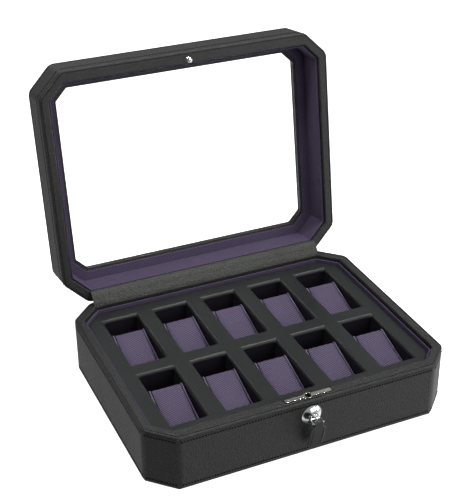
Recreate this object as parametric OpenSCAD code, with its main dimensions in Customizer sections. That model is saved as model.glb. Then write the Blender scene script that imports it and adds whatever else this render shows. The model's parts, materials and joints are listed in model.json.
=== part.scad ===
// Watch box: an octagonal leather-covered case with ten cushion cells and a glazed lid.
// Origin: centre of the underside. X runs along the width, -Y is the front, +Z is up.
// The lid is drawn closed and then turned open about the rear top edge of the base.

/* [Case] */
// Outer width
case_w = 330; // [300:1:360]
// Outer depth
case_d = 256; // [240:1:280]
// Height of the base
base_h = 61.5; // [58:0.5:70]
// Leg of the cut corners
corner = 26; // [20:1:32]
// Thickness of the core board
board_t = 8.1; // [7:0.1:10]
// Thickness of the leather
leather_t = 1.2; // [0.8:0.1:1.6]
// Thickness of the lining board
lining_t = 1.5; // [1:0.1:2]
// Distance from a rim's edge to its lining
lining_drop = 3; // [2:0.5:5]
// Extra thickness of the front walls, which hold the lock and its stud
front_extra = 3.5; // [3.5:0.5:5]

/* [Lid] */
// Height of the lid
lid_h = 44.5; // [40:0.5:50]
// Angle at which the lid rests open
open_angle = 99.3; // [90:0.1:105]
// Gap between the closed rims
rim_gap = 0.4; // [0.3:0.1:0.8]
// Width of the frame around the window
window_inset = 25.5; // [25:0.5:34]
// Leg of the window's cut corners
window_corner = 13; // [8:1:18]
// Thickness of the glass
glass_t = 3; // [2:0.5:4]

/* [Tray] */
// Depth of the tray's deck below the rim
deck_drop = 9; // [7:0.5:12]
// Thickness of the deck
deck_t = 2; // [1.5:0.5:3]
// Cells in a row
columns = 5; // [5:1:5]
// Distance between the centres of the cells in a row
cell_pitch = 57.65; // [50:0.05:60]
// Width of a cell
cell_w = 38; // [34:1:42]
// Length of a cell
cell_l = 88; // [80:1:92]
// Width of the rail between the two rows
middle_rail = 19; // [16:1:24]
// Top of the floor pad
floor_z = 9; // [8:0.5:12]

/* [Cushions] */
// Width of a cushion
cushion_w = 36; // [30:1:37]
// Length of a cushion
cushion_l = 64; // [55:1:70]
// Top of a cushion's rear edge above the underside
cushion_top = 51.5; // [48:0.5:52]
// Thickness of the fabric sleeve
sleeve_t = 1; // [0.6:0.1:1.5]
// Width of the sleeve
sleeve_w = 29; // [26:1:34]

/* [Lock] */
// Height of the lock's axis
lock_z = 44.2; // [42:0.1:45]
// Radius of the domed rose
rose_r = 11; // [9:0.5:13]
// Height of the dome
rose_h = 5; // [3:0.5:6]
// Radius of the turning plug
plug_r = 4.5; // [3.5:0.5:5]
// Length of the strike plate
strike_l = 50; // [44:1:60]
// Travel of the bolt
bolt_travel = 6; // [5:0.5:7]
// Length of the leather fob
fob_l = 33; // [25:1:36]

/* [Hinge] */
// Distance of each hinge from the middle
hinge_x = 85; // [70:1:100]
// Length of a hinge
hinge_l = 44; // [36:1:50]
// Radius of a hinge barrel
barrel_r = 2.4; // [2.2:0.1:3]

/* [Hidden] */

$fn = 48;
e = 0.01;
running = 0.05;
clear = 0.4;
front_y = -case_d / 2;
hinge_y = case_d / 2;
core_out = leather_t;
core_in = core_out + board_t;
rim_in = core_in + leather_t;
lined_in = rim_in + lining_t;
felt_t = 1.2;
board_top = 5;
deck_z = base_h - deck_drop;
deck_bottom = deck_z - deck_t;
lid_z = base_h + rim_gap;
lid_top = base_h + lid_h;
border_z = lid_z + 33;
border_t = 2.6;
border_in = 23;
glass_z = border_z + border_t + 0.2;
glass_inset = 19;
liner_t = 1;
row_y = middle_rail / 2 + cell_l / 2;
cushion_gap = 0.8;
cushion_z = floor_z + 0.3;
cushion_slope = 16.5;
pocket_y = front_y + core_in + front_extra;
case_y = pocket_y - 3.8;
case_back = pocket_y - 0.1;
pocket_w = 30;
pocket_z = 28;
pin_r = 1.2;
leaf_d = 8.4;
leaf_t = 1.2;
knuckle = 15;
knuckle_gap = 0.4;
relief_r = barrel_r + clear;
stop_r = 6.5;
web_w = 274;
web_t = 0.8;
bow_y = front_y - 10.5;
bow_w = 14;
bow_l = 9;
wire_r = 1;
bow_r = 3;
key_r = 1.5;
fob_w = 14;
fob_t = 1.8;
fob_y = bow_y - bow_l / 2 + wire_r;
stud_y = case_y;

// Outline of the case, drawn in by t, with legs of the cut corners at that depth. Inside the core
// board the front edge lies further back.
module outline(t, leg = -1) {
    x = case_w / 2 - t;
    y = case_d / 2 - t;
    c = leg < 0 ? corner - t * (2 - sqrt(2)) : leg;
    f = leg < 0 && t >= core_in ? front_extra : 0;
    polygon([[x, y - c], [x - c, y], [c - x, y], [-x, y - c], [-x, c - y], [c - x - f, f - y],
             [x - c + f, f - y], [x, c - y]]);
}

// Slab of the outline from z0 to z1.
module slab(t, z0, z1, leg = -1)
    translate([0, 0, z0]) linear_extrude(z1 - z0) outline(t, leg);

// Ring between two depths of the outline.
module ring(t0, t1, z0, z1)
    translate([0, 0, z0]) linear_extrude(z1 - z0) difference() {
        outline(t0);
        outline(t1);
    }

module box(x0, x1, y0, y1, z0, z1)
    translate([x0, y0, z0]) cube([x1 - x0, y1 - y0, z1 - z0]);

// Turns what is drawn on the closed lid to its open rest.
module on_lid()
    translate([0, hinge_y, base_h]) rotate([-open_angle, 0, 0])
        translate([0, -hinge_y, -base_h]) children();

module along_x(r, x0, x1)
    translate([x0, 0, 0]) rotate([0, 90, 0]) cylinder(r = r, h = x1 - x0);

module along_y(r, y0, y1)
    translate([0, y0, 0]) rotate([-90, 0, 0]) cylinder(r = r, h = y1 - y0);

module at_hinges()
    for (x = [-hinge_x, hinge_x]) translate([x, hinge_y, base_h]) children();

// Rectangle with round corners.
module round_rect(w, l, r)
    polygon([for (q = [0:3], a = [0:15:90])
        let (sx = (q == 0 || q == 3) ? 1 : -1, sy = q < 2 ? 1 : -1, t = q * 90 + a)
        [sx * (w / 2 - r) + r * cos(t), sy * (l / 2 - r) + r * sin(t)]]);

// ---- Cells and cushions: 1 to 5 is the front row, 6 to 10 is the back row.
function cell_x(i) = ((i - 1) % columns - (columns - 1) / 2) * cell_pitch;
function cell_y(i) = i <= columns ? -row_y : row_y;

module at_cell(i) translate([cell_x(i), cell_y(i), 0]) children();

// ---- Base
module hinge_relief()
    at_hinges() along_x(relief_r, -hinge_l / 2 - clear, hinge_l / 2 + clear);

module leaf_plate(z0)
    box(-hinge_l / 2, hinge_l / 2, -leaf_d, 0, z0, z0 + leaf_t);

// One countersunk screw, head at z = 0 and shank downwards.
module screw(head_r, shank_r, length) {
    translate([0, 0, -0.9]) cylinder(r1 = shank_r, r2 = head_r, h = 0.9);
    translate([0, 0, -length]) cylinder(r = shank_r, h = length - 0.9 + e);
}

module leaf_screws()
    for (x = [-15, 0, 15]) translate([x, -5.4, 0]) screw(1.8, 1, 8);

module base_core() color("tan") difference() {
    ring(core_out, core_in, felt_t, base_h - leather_t);
    box(-pocket_w / 2, pocket_w / 2, front_y, pocket_y + e, pocket_z, base_h);
    hinge_relief();
    at_hinges() leaf_screws();
    strike_screws();
}

module base_floor() color("tan") slab(core_in + 0.05, felt_t, board_top);

module base_leather() color("#2b2c2d") difference() {
    union() {
        ring(0, core_out, 0, base_h);
        ring(0, rim_in, base_h - leather_t, base_h);
        ring(core_in, rim_in, board_top, base_h);
    }
    translate([0, 0, lock_z]) along_y(7, front_y - 1, front_y + 3);
    strike_outline(base_h - leather_t - e, base_h + e);
    hinge_relief();
    at_hinges() leaf_plate(-leaf_t);
    web_recess(base_h - 0.9, base_h + e);
}

module web_recess(z0, z1)
    box(-web_w / 2 - 0.4, web_w / 2 + 0.4, hinge_y - 12.5, hinge_y - 8.8, z0, z1);

module base_lining() color("#453a52") ring(rim_in, lined_in, board_top, base_h - lining_drop);

module compartment_floor() color("#2e2638") slab(lined_in + 0.05, board_top, floor_z);

module underside_felt() color("#1c1c1e") slab(core_out, 0, felt_t);

// ---- Tray
module tray_outline() outline(lined_in + 0.1);

module tray_rails() color("tan") translate([0, 0, floor_z])
    linear_extrude(deck_bottom - floor_z) for (y = [-1, 0, 1]) intersection() {
        tray_outline();
        translate([0, y * (middle_rail + cell_l) ]) square([case_w, middle_rail - 2 * liner_t], center = true);
    }

module tray_dividers() color("tan") translate([0, 0, floor_z])
    linear_extrude(deck_bottom - floor_z) for (y = [-row_y, row_y], k = [0:columns]) intersection() {
        tray_outline();
        translate([(k - columns / 2) * cell_pitch, y])
            square([cell_pitch - cell_w - 2 * liner_t, cell_l + 2 * liner_t], center = true);
    }

module cell_linings() color("#3b3147") for (i = [1:10]) at_cell(i)
    translate([0, 0, floor_z]) linear_extrude(deck_bottom - floor_z) difference() {
        square([cell_w + 2 * liner_t, cell_l + 2 * liner_t], center = true);
        square([cell_w, cell_l], center = true);
    }

module tray_top() color("#2b2c2d") translate([0, 0, deck_bottom])
    linear_extrude(deck_t) difference() {
        tray_outline();
        for (i = [1:10]) at_cell(i) round_rect(cell_w, cell_l, 3);
    }

// Corners of a cushion's profile: centre in y and z, radius, first and last angle. The top slopes
// down to the front, as a watch lies on it.
cushion_y0 = -cell_l / 2 + cushion_gap;
cushion_y1 = cushion_y0 + cushion_l;
rear_r = 3.5;
front_r = 9;
foot_r = 4;
front_z = cushion_top - rear_r + (rear_r - front_r) / cos(cushion_slope)
    - tan(cushion_slope) * (cushion_l - rear_r - front_r);
cushion_corners = [
    [cushion_y1 - foot_r, cushion_z + foot_r, foot_r, -90, 0],
    [cushion_y1 - rear_r, cushion_top - rear_r, rear_r, 0, 90 + cushion_slope],
    [cushion_y0 + front_r, front_z, front_r, 90 + cushion_slope, 180],
    [cushion_y0 + foot_r, cushion_z + foot_r, foot_r, 180, 270]];

// Slice of a cushion of width w, drawn in by t.
module cushion_side(t, w) translate([-w / 2, 0, 0]) rotate([90, 0, 90])
    linear_extrude(w) polygon([for (q = cushion_corners, k = [0:6])
        let (a = q[3] + (q[4] - q[3]) * k / 6) [q[0] + (q[2] - t) * cos(a), q[1] + (q[2] - t) * sin(a)]]);

module cushion_core(i) color("#1d1a22") at_cell(i) cushion_side(sleeve_t, cushion_w);

module cushion_sleeve(i) color("#5b4c6b") at_cell(i) difference() {
    cushion_side(0, sleeve_w);
    cushion_side(sleeve_t, sleeve_w + 1);
}

// ---- Lock
module strike_outline(z0, z1) translate([0, case_y, z0]) linear_extrude(z1 - z0) union() {
    square([strike_l, 5.6], center = true);
    circle(r = 4.6);
}

module strike_plate() color("silver") difference() {
    strike_outline(base_h - leather_t, base_h);
    translate([0, case_y, base_h - 3]) cylinder(r = 3.4, h = 4);
    strike_screws();
}

module strike_screws() color("silver")
    for (x = [-21, 21]) translate([x, case_y, base_h]) screw(1.5, 0.8, 8);

// Profile of the dome from the plug's hole to its rim.
dome_r = (rose_r * rose_r + rose_h * rose_h) / (2 * rose_h);
function dome(r) = sqrt(dome_r * dome_r - r * r) - (dome_r - rose_h);

module lock_rose() color("silver") translate([0, front_y, lock_z]) rotate([90, 0, 0]) {
    rotate_extrude() polygon(concat(
        [[rose_r, 0.02], [plug_r + running, 0.02]],
        [for (k = [0:16]) let (r = plug_r + running + (rose_r - plug_r - running) * k / 16)
            [r, max(dome(r), 0) + 0.4]]));
    // Neck that passes through the leather into the case
    translate([0, 0, -1.45]) difference() {
        cylinder(r = 6.4, h = 1.45 + 0.03);
        translate([0, 0, -1]) cylinder(r = plug_r + running, h = 4);
    }
}

module lock_case() color("silver") difference() {
    box(-14.5, 14.5, front_y + 1.5, case_back, pocket_z + 1, base_h - leather_t - 0.1);
    box(-13.5, 13.5, front_y + 2.5, case_back - 0.5, pocket_z + 2, base_h - leather_t + 1);
    translate([0, 0, lock_z]) along_y(plug_r + running, front_y, front_y + 4);
}

module lock_plug() color("silver") difference() {
    union() {
        translate([0, 0, lock_z]) along_y(plug_r, front_y - rose_h - 0.2, front_y + 3.4);
        translate([0, 0, lock_z]) along_y(bolt_travel / (PI / 2), front_y + 3.4 - e, front_y + 9);
    }
    translate([0, 0, lock_z]) along_y(key_r + running, front_y - 8, front_y + 5);
    box(-0.8, 0.8, front_y - 8, front_y + 5, lock_z - 3.2, lock_z);
}

// The bolt is a fork that slides under the head of the stud.
bolt_z = lid_z - 3.7;
module lock_bolt() color("silver") difference() {
    union() {
        box(3.6, 13, case_y - 2.8, case_y + 2.8, bolt_z, bolt_z + 1.4);
        box(-6, 13, case_y - 1.4, case_y + 1.6, bolt_z - 4.4, bolt_z - 3);
        box(9.8, 13, case_y - 2.8, case_y + 2.8, bolt_z - 4.4, bolt_z + 1.4);
        box(-5.6, 5.6, case_y - 1.4, case_y + 1.6, lock_z + 4.2, bolt_z - 3);
    }
    box(3, 9.6, case_y - 2.1, case_y + 2.1, bolt_z - 1, bolt_z + 2);
}

module key() color("silver") {
    difference() {
        translate([0, 0, lock_z]) along_y(key_r, bow_y + bow_l / 2 - wire_r, front_y + 4.4);
        box(-0.6, 0.6, front_y - 6, front_y + 6, lock_z - 0.5, lock_z - 2);
    }
    box(-0.5, 0.5, front_y + 0.5, front_y + 4, lock_z - 2.9, lock_z);
    translate([0, 0, lock_z]) along_y(2.1, front_y - 7.2, front_y - 6);
    // Bow: a round wire bent to a rectangle with round corners
    translate([0, bow_y, lock_z]) for (s = [-1, 1]) {
        translate([0, s * (bow_l / 2 - wire_r), 0]) along_x(wire_r, bow_r - bow_w / 2, bow_w / 2 - bow_r);
        translate([s * (bow_w / 2 - wire_r), 0, 0]) along_y(wire_r, bow_r - bow_l / 2, bow_l / 2 - bow_r);
        for (t = [-1, 1]) translate([s * (bow_w / 2 - bow_r), t * (bow_l / 2 - bow_r), 0])
            rotate([0, 0, s > 0 ? (t > 0 ? 0 : 270) : (t > 0 ? 90 : 180)])
                rotate_extrude(angle = 90) translate([bow_r - wire_r, 0]) circle(r = wire_r, $fn = 24);
    }
}

// Line of the fob from its loop down: it hangs and curls back towards the case.
function fob_line(s) = [fob_y - 0.5 + 8.5 * pow(s, 1.5), lock_z - 1.2 - (fob_l - 2) * s];

module key_fob() color("#2b2c2d") {
    translate([0, fob_y, lock_z]) difference() {
        along_x(2.4, -3.7, 3.7);
        along_x(wire_r + 0.3, -5, 5);
    }
    intersection() {
        translate([-fob_w / 2, 0, 0]) rotate([90, 0, 90]) linear_extrude(fob_w) polygon(concat(
            [for (k = [1:12]) fob_line(k / 12) - [fob_t / 2, 0]],
            [for (k = [12:-1:1]) fob_line(k / 12) + [fob_t / 2, 0]]));
        translate([0, -80, lock_z]) rotate([90, 0, 0]) linear_extrude(120) polygon([[-3.7, 0], [3.7, 0],
            [3.7, -4], [fob_w / 2, -7], [fob_w / 2, -fob_l + 3], [fob_w / 2 - 3, -fob_l - 1],
            [3 - fob_w / 2, -fob_l - 1], [-fob_w / 2, -fob_l + 3], [-fob_w / 2, -7], [-3.7, -4]]);
    }
    // The two layers meet below the loop
    box(-3.7, 3.7, fob_y - 1.4, fob_y + 1.4, lock_z - 4.2, lock_z - 1.9);
}

// ---- Hinges: barrels on the line of the rear top edge, with shoulders that stop the lid.
module stop_wedge(a0, a1, own)
    rotate([90, 0, 90]) {
        translate([0, 0, -hinge_l / 2]) linear_extrude(hinge_l) sector(a0, a1, relief_r, stop_r);
        for (span = own) translate([0, 0, span[0]])
            linear_extrude(span[1] - span[0]) sector(a0, a1, barrel_r - 0.6, relief_r + e);
    }

module sector(a0, a1, r0, r1) polygon(concat(
    [for (k = [0:4]) let (a = a0 + (a1 - a0) * k / 4) [r0 * cos(a), r0 * sin(a)]],
    [for (k = [4:-1:0]) let (a = a0 + (a1 - a0) * k / 4) [r1 * cos(a), r1 * sin(a)]]));

module pin_hole() along_x(pin_r + running, -hinge_l, hinge_l);

base_spans = [[-hinge_l / 2, -knuckle / 2 - knuckle_gap], [knuckle / 2 + knuckle_gap, hinge_l / 2]];
lid_spans = [[-knuckle / 2, knuckle / 2]];
other_of_base = [[-knuckle / 2 - knuckle_gap, knuckle / 2 + knuckle_gap]];
other_of_lid = [[-hinge_l / 2 - 1, -knuckle / 2], [knuckle / 2, hinge_l / 2 + 1]];

// A leaf: plate, its own knuckles and its stop, cut clear of the other leaf's knuckles.
module leaf(z0, spans, others, a0, a1) difference() {
    union() {
        difference() {
            leaf_plate(z0);
            for (s = others) along_x(relief_r, s[0], s[1]);
        }
        for (s = spans) along_x(barrel_r, s[0], s[1]);
        stop_wedge(a0, a1, spans);
    }
    pin_hole();
}

module base_hinge_leaves() color("silver") difference() {
    at_hinges() leaf(-leaf_t, base_spans, other_of_base, 271.5, 308.5);
    at_hinges() leaf_screws();
}

module base_hinge_screws() color("silver") at_hinges() leaf_screws();

module lid_leaf_screws()
    at_hinges() translate([0, 0, rim_gap]) mirror([0, 0, 1]) leaf_screws();

module lid_hinge_leaves() color("silver") on_lid() difference() {
    at_hinges() leaf(rim_gap, lid_spans, other_of_lid, 312.5 - 360 + open_angle, 349.3 - 360 + open_angle);
    lid_leaf_screws();
}

module lid_hinge_screws() color("silver") on_lid() lid_leaf_screws();

module hinge_pins() color("silver") at_hinges() along_x(pin_r, -hinge_l / 2, hinge_l / 2);

// Section of the strip that bridges the rear rims inside, in y and z from the hinge line.
web_line = [[-12.3, 0.4], [-10, 2.8], [-7.2, 6.1], [-4.3, 10.1], [0.6, 12.7]];
module hinge_web() color("#2b2c2d") translate([-web_w / 2, hinge_y, base_h]) rotate([90, 0, 90])
    linear_extrude(web_w) polygon(concat(web_line,
        [for (k = [4:-1:0]) web_line[k] + [-web_t * 0.77, web_t * 0.64]]));

// ---- Lid, drawn closed
module lid_core() color("tan") on_lid() difference() {
    ring(core_out, core_in, lid_z + leather_t, lid_top - leather_t);
    hinge_relief();
    lid_leaf_screws();
    translate([0, stud_y, lid_z]) cylinder(r = 1.2, h = 6);
}

module lid_top_board() color("tan") on_lid() difference() {
    slab(core_in, glass_z, lid_top - leather_t);
    slab(window_inset - leather_t, glass_z - 1, lid_top, window_corner);
    slab(glass_inset - 0.2, glass_z - 1, glass_z + glass_t + 0.2, window_corner + 4);
}

module lid_leather() color("#3a3b3c") on_lid() difference() {
    union() {
        ring(0, core_out, lid_z, lid_top);
        ring(0, rim_in, lid_z, lid_z + leather_t);
        ring(core_in, rim_in, lid_z, glass_z - 0.2);
        difference() {
            slab(0, lid_top - leather_t, lid_top);
            slab(window_inset, lid_top - 2, lid_top + 1, window_corner);
        }
        difference() {
            slab(window_inset - leather_t, glass_z + glass_t + 0.2, lid_top, window_corner);
            slab(window_inset, glass_z, lid_top + 1, window_corner);
        }
    }
    hinge_relief();
    at_hinges() leaf_plate(rim_gap);
    web_recess(lid_z - e, lid_z + 0.9);
    translate([0, stud_y, lid_z - 1]) cylinder(r = 3.3, h = 1.8);
    translate([0, stud_y, lid_z]) cylinder(r = 1.2, h = 6);
}

module glass_pane() color("lightblue", 0.35) on_lid()
    slab(glass_inset, glass_z + 0.1, glass_z + 0.1 + glass_t, window_corner + 4);

module window_bead() color("#242425") on_lid() difference() {
    slab(border_in, glass_z - 1.2, glass_z, window_corner);
    slab(window_inset, glass_z - 2, glass_z + 1, window_corner);
}

module lid_lining() color("#4e4260") on_lid() ring(rim_in, lined_in, lid_z + lining_drop, border_z);

module lid_border() color("#4e4260") on_lid() difference() {
    slab(rim_in, border_z, border_z + border_t);
    slab(border_in, border_z - 1, border_z + 4, window_corner);
}

module catch_stud() color("silver") on_lid() translate([0, stud_y, lid_z]) {
    cylinder(r = 3.3, h = 0.8);
    cylinder(r = 1.2, h = 6);
    translate([0, 0, -4.2]) cylinder(r = 1.7, h = 4.3);
    translate([0, 0, -5.6]) cylinder(r1 = 2.2, r2 = 2.8, h = 0.7);
    translate([0, 0, -4.9]) cylinder(r = 2.8, h = 0.8);
}

base_core();
base_floor();
base_leather();
base_lining();
compartment_floor();
tray_rails();
tray_dividers();
cell_linings();
tray_top();
underside_felt();
strike_plate();
strike_screws();
lock_rose();
lock_case();
lock_plug();
lock_bolt();
key();
key_fob();
base_hinge_leaves();
base_hinge_screws();
hinge_pins();
hinge_web();
lid_core();
lid_top_board();
lid_leather();
glass_pane();
window_bead();
lid_lining();
lid_border();
catch_stud();
lid_hinge_leaves();
lid_hinge_screws();
for (i = [1:10]) cushion_core(i);
for (i = [1:10]) cushion_sleeve(i);
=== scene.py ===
import json
import math
import random

import bmesh
import bpy
from mathutils import Matrix, Vector


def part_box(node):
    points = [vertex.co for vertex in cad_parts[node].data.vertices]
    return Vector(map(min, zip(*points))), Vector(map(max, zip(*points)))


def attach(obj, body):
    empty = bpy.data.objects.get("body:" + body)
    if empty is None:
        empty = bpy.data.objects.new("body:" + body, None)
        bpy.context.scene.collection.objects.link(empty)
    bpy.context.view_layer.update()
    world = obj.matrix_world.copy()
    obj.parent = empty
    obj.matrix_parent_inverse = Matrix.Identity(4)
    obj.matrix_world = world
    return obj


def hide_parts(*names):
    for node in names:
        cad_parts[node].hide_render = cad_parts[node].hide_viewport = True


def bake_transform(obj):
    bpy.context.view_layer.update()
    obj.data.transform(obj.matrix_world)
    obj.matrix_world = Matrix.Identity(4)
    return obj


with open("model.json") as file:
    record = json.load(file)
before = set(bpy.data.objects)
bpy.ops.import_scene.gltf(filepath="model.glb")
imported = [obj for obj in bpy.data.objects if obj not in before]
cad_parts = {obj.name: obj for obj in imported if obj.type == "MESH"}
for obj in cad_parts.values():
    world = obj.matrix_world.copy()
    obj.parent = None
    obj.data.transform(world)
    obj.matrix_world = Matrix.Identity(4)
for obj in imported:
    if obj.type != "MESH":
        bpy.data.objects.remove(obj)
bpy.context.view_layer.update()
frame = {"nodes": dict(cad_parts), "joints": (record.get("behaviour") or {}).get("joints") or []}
bpy.ops.object.select_all(action="DESELECT")
print("frame loaded:", len(frame["nodes"]), "nodes")

mm = 0.001
nodes = frame["nodes"]
near = 0.02 * mm  # points closer than this share a place
facing = 0.9  # a normal with this much along an axis faces that way
leatherLow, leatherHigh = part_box("base_leather")
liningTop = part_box("base_lining")[1]
lidJoint = next(j for j in frame["joints"] if j["name"] == "lid_hinge")
openAngle = math.radians(-min(lidJoint["range_deg"]))

# Places on the case, most of them read from the frame
case = {
    "width": leatherHigh.x - leatherLow.x,
    "depth": leatherHigh.y - leatherLow.y,
    "height": leatherHigh.z,
    "corner": 26 * mm,
    "frontExtra": 3.5 * mm,  # how much thicker the front wall is
    "thickFrom": 8 * mm,  # outlines set further in than this follow the thick front wall
    "rim": leatherHigh.x - liningTop.x,
    "lining": 1.5 * mm,
    "deck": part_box("tray_top")[1].z,
    "front": leatherLow.y,
    "back": leatherHigh.y,
    "lidGap": 0.4 * mm,
    "lidHeight": 44.5 * mm,
}
case["lined"] = case["rim"] + case["lining"]
case["lidLow"] = case["height"] + case["lidGap"]
case["lidTop"] = case["height"] + case["lidHeight"]
hinge = Vector((0, case["back"], case["height"]))
lidOpening = Matrix.Translation(hinge) @ Matrix.Rotation(-openAngle, 4, "X") @ Matrix.Translation(-hinge)


# A socket whose operators add Math nodes
class Wire:
    def __init__(self, tree, socket):
        self.tree = tree
        self.socket = socket

    def node(self, kind, settings=None, inputs=None, out=0):
        made = self.tree.nodes.new(kind)
        for key, value in (settings or {}).items():
            setattr(made, key, value)
        for key, value in (inputs or {}).items():
            if isinstance(value, Wire):
                self.tree.links.new(value.socket, made.inputs[key])
            elif value is not None:
                made.inputs[key].default_value = value
        return Wire(self.tree, made.outputs[out])

    def math(self, operation, other=None):
        return self.node("ShaderNodeMath", {"operation": operation}, {0: self, 1: other})

    def __add__(self, other):
        return self.math("ADD", other)

    def __mul__(self, other):
        return self.math("MULTIPLY", other)

    def __sub__(self, other):
        return self.math("SUBTRACT", other)

    def __rsub__(self, other):
        return self.node("ShaderNodeMath", {"operation": "SUBTRACT"}, {0: other, 1: self})

    __radd__ = __add__
    __rmul__ = __mul__

    def wave(self, pitch):  # a rounded ridge every pitch, from 0 to 1
        return (self * (2 * math.pi / pitch)).math("SINE") * 0.5 + 0.5

    def mix(self, colourA, colourB):  # self chooses between two colours
        return self.node("ShaderNodeMix", {"data_type": "RGBA"}, {0: self, 6: colourA, 7: colourB}, 2)

    def axis(self, index):
        return self.node("ShaderNodeSeparateXYZ", None, {0: self}, index)

    def noise(self, scale, detail=3.0, rough=0.5):
        return self.node("ShaderNodeTexNoise", None,
                         {"Vector": self, "Scale": scale, "Detail": detail, "Roughness": rough})

    def cells(self, scale, feature):
        return self.node("ShaderNodeTexVoronoi", {"feature": feature}, {"Vector": self, "Scale": scale})

    def between(self, start, end, atStart, atEnd, **settings):  # runs from one value to another over a range
        return self.node("ShaderNodeMapRange", settings, {0: self, 1: start, 2: end, 3: atStart, 4: atEnd})

    def bump(self, distance, strength=1.0):
        return self.node("ShaderNodeBump", None, {"Height": self, "Distance": distance, "Strength": strength})


def newMaterial(name, fixed):
    made = bpy.data.materials.new(name)
    made.use_nodes = True
    shader = made.node_tree.nodes["Principled BSDF"]
    for key, value in fixed.items():
        shader.inputs[key].default_value = value
    return made, shader


def coordinates(material, turned=False):  # object coordinates, turned back to the closed lid's if asked
    tree = material.node_tree
    place = Wire(tree, tree.nodes.new("ShaderNodeTexCoord").outputs["Object"])
    if not turned:
        return place
    back = lidOpening.inverted()
    return place.node("ShaderNodeMapping", None, {
        "Vector": place, "Location": back.translation, "Rotation": back.to_euler()})


def feed(shader, name, wire):
    wire.tree.links.new(wire.socket, shader.inputs[name])


hide = {"specular": 0.4, "warpScale": 260, "warp": 0.6 * mm, "creaseSlope": 2.6, "pore": 2600, "cloud": 14,
        "darker": 0.5, "lighter": 0.9}


def leatherMaterial(name, tone, grain=1.9 * mm, depth=0.45 * mm, rough=0.35, turned=False, contrast=1.0):
    made, shader = newMaterial(name, {"Specular IOR Level": hide["specular"]})
    place = coordinates(made, turned)
    warp = place.noise(hide["warpScale"], 2.0) * hide["warp"]
    bent = place.node("ShaderNodeVectorMath", {"operation": "ADD"}, {0: place, 1: warp})
    pebble = bent.cells(1 / grain, "SMOOTH_F1")
    crease = (bent.cells(1 / grain, "DISTANCE_TO_EDGE") * hide["creaseSlope"]).math("MINIMUM", 1.0)
    speckle = place.noise(0.9 / grain, 2.0)
    fine = place.noise(hide["pore"], 3.0)
    broad = place.noise(hide["cloud"], 3.0)
    dark = tuple(c * (1 - hide["darker"] * contrast) for c in tone)
    light = tuple(min(c * (1 + hide["lighter"] * contrast), 1) for c in tone)
    # The colour is darker along the grain's creases, painted shade in the creases, and varies at random with
    # the speckle, fine and broad noise.
    shade = crease * 0.45 + speckle * 0.9 + fine * 0.2 + broad * 0.3 - 0.45
    feed(shader, "Base Color", shade.mix((*dark, 1), (*light, 1)))
    feed(shader, "Roughness", (1 - crease) * 0.16 + broad * 0.14 + (rough - 0.07))
    height = crease * 0.6 + (1 - pebble) * 0.3 + fine * 0.2
    feed(shader, "Normal", height.bump(depth, 1.0))
    return made


twill = {"specular": 0.25, "sheen": 0.12, "sheenRough": 0.4, "wanderScale": 90, "fuzzScale": 900,
         "patchScale": 22, "worn": 0.2, "depth": 0.25 * mm}


def twillMaterial(name, dark, light, pitch, slope, turned=False, ribs=0.62):
    # diagonal ribs with the short crossing threads of a twill
    made, shader = newMaterial(name, {
        "Specular IOR Level": twill["specular"], "Sheen Weight": twill["sheen"],
        "Sheen Roughness": twill["sheenRough"], "Sheen Tint": (*light, 1)})
    place = coordinates(made, turned)
    x, y, z = (place.axis(i) for i in range(3))
    run = x * math.cos(slope) + (y + z) * math.sin(slope)
    across = (y + z) * math.cos(slope) - x * math.sin(slope)
    wander = place.noise(twill["wanderScale"], 2.0) * (0.5 * pitch)
    rib = (across + wander).wave(pitch)
    thread = run.wave(pitch * 0.5)
    fuzz = place.noise(twill["fuzzScale"], 2.0)
    weave = rib * ribs + fuzz * 0.55 + (0.21 - ribs / 2)
    patch = place.noise(twill["patchScale"], 2.0) * twill["worn"] - 0.5 * twill["worn"]
    feed(shader, "Base Color", (weave + patch).mix((*dark, 1), (*light, 1)))
    feed(shader, "Roughness", 0.95 - weave * 0.2)
    feed(shader, "Normal", (rib * 0.85 + thread * 0.15).bump(twill["depth"], 0.7))
    return made


def metalMaterial(name, tone, rough, scratch):  # scratch is how much the roughness varies
    made, shader = newMaterial(name, {"Metallic": 1.0})
    place = coordinates(made)
    smear = place.noise(60, 3.0)
    hair = place.noise(900, 2.0)
    feed(shader, "Base Color", smear.mix((*tuple(c * 0.85 for c in tone), 1), (*tone, 1)))
    feed(shader, "Roughness", smear * scratch + hair * scratch * 0.5 + rough)
    return made


def plainMaterial(name, tone, rough, scale, spread=0.3, depth=0.1 * mm, gloss=0.3):
    made, shader = newMaterial(name, {"Specular IOR Level": gloss})
    place = coordinates(made)
    speck = place.noise(scale, 4.0, 0.65)
    low = tuple(c * (1 - spread) for c in tone)
    high = tuple(min(c * (1 + spread), 1) for c in tone)
    feed(shader, "Base Color", speck.mix((*low, 1), (*high, 1)))
    feed(shader, "Roughness", speck * 0.1 + (rough - 0.05))
    feed(shader, "Normal", speck.bump(depth, 0.5))
    return made


def glassMaterial():
    return newMaterial("clear glass", {
        "Base Color": (1, 1, 1, 1), "IOR": 1.45, "Transmission Weight": 1.0, "Roughness": 0.0})[0]


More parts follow.
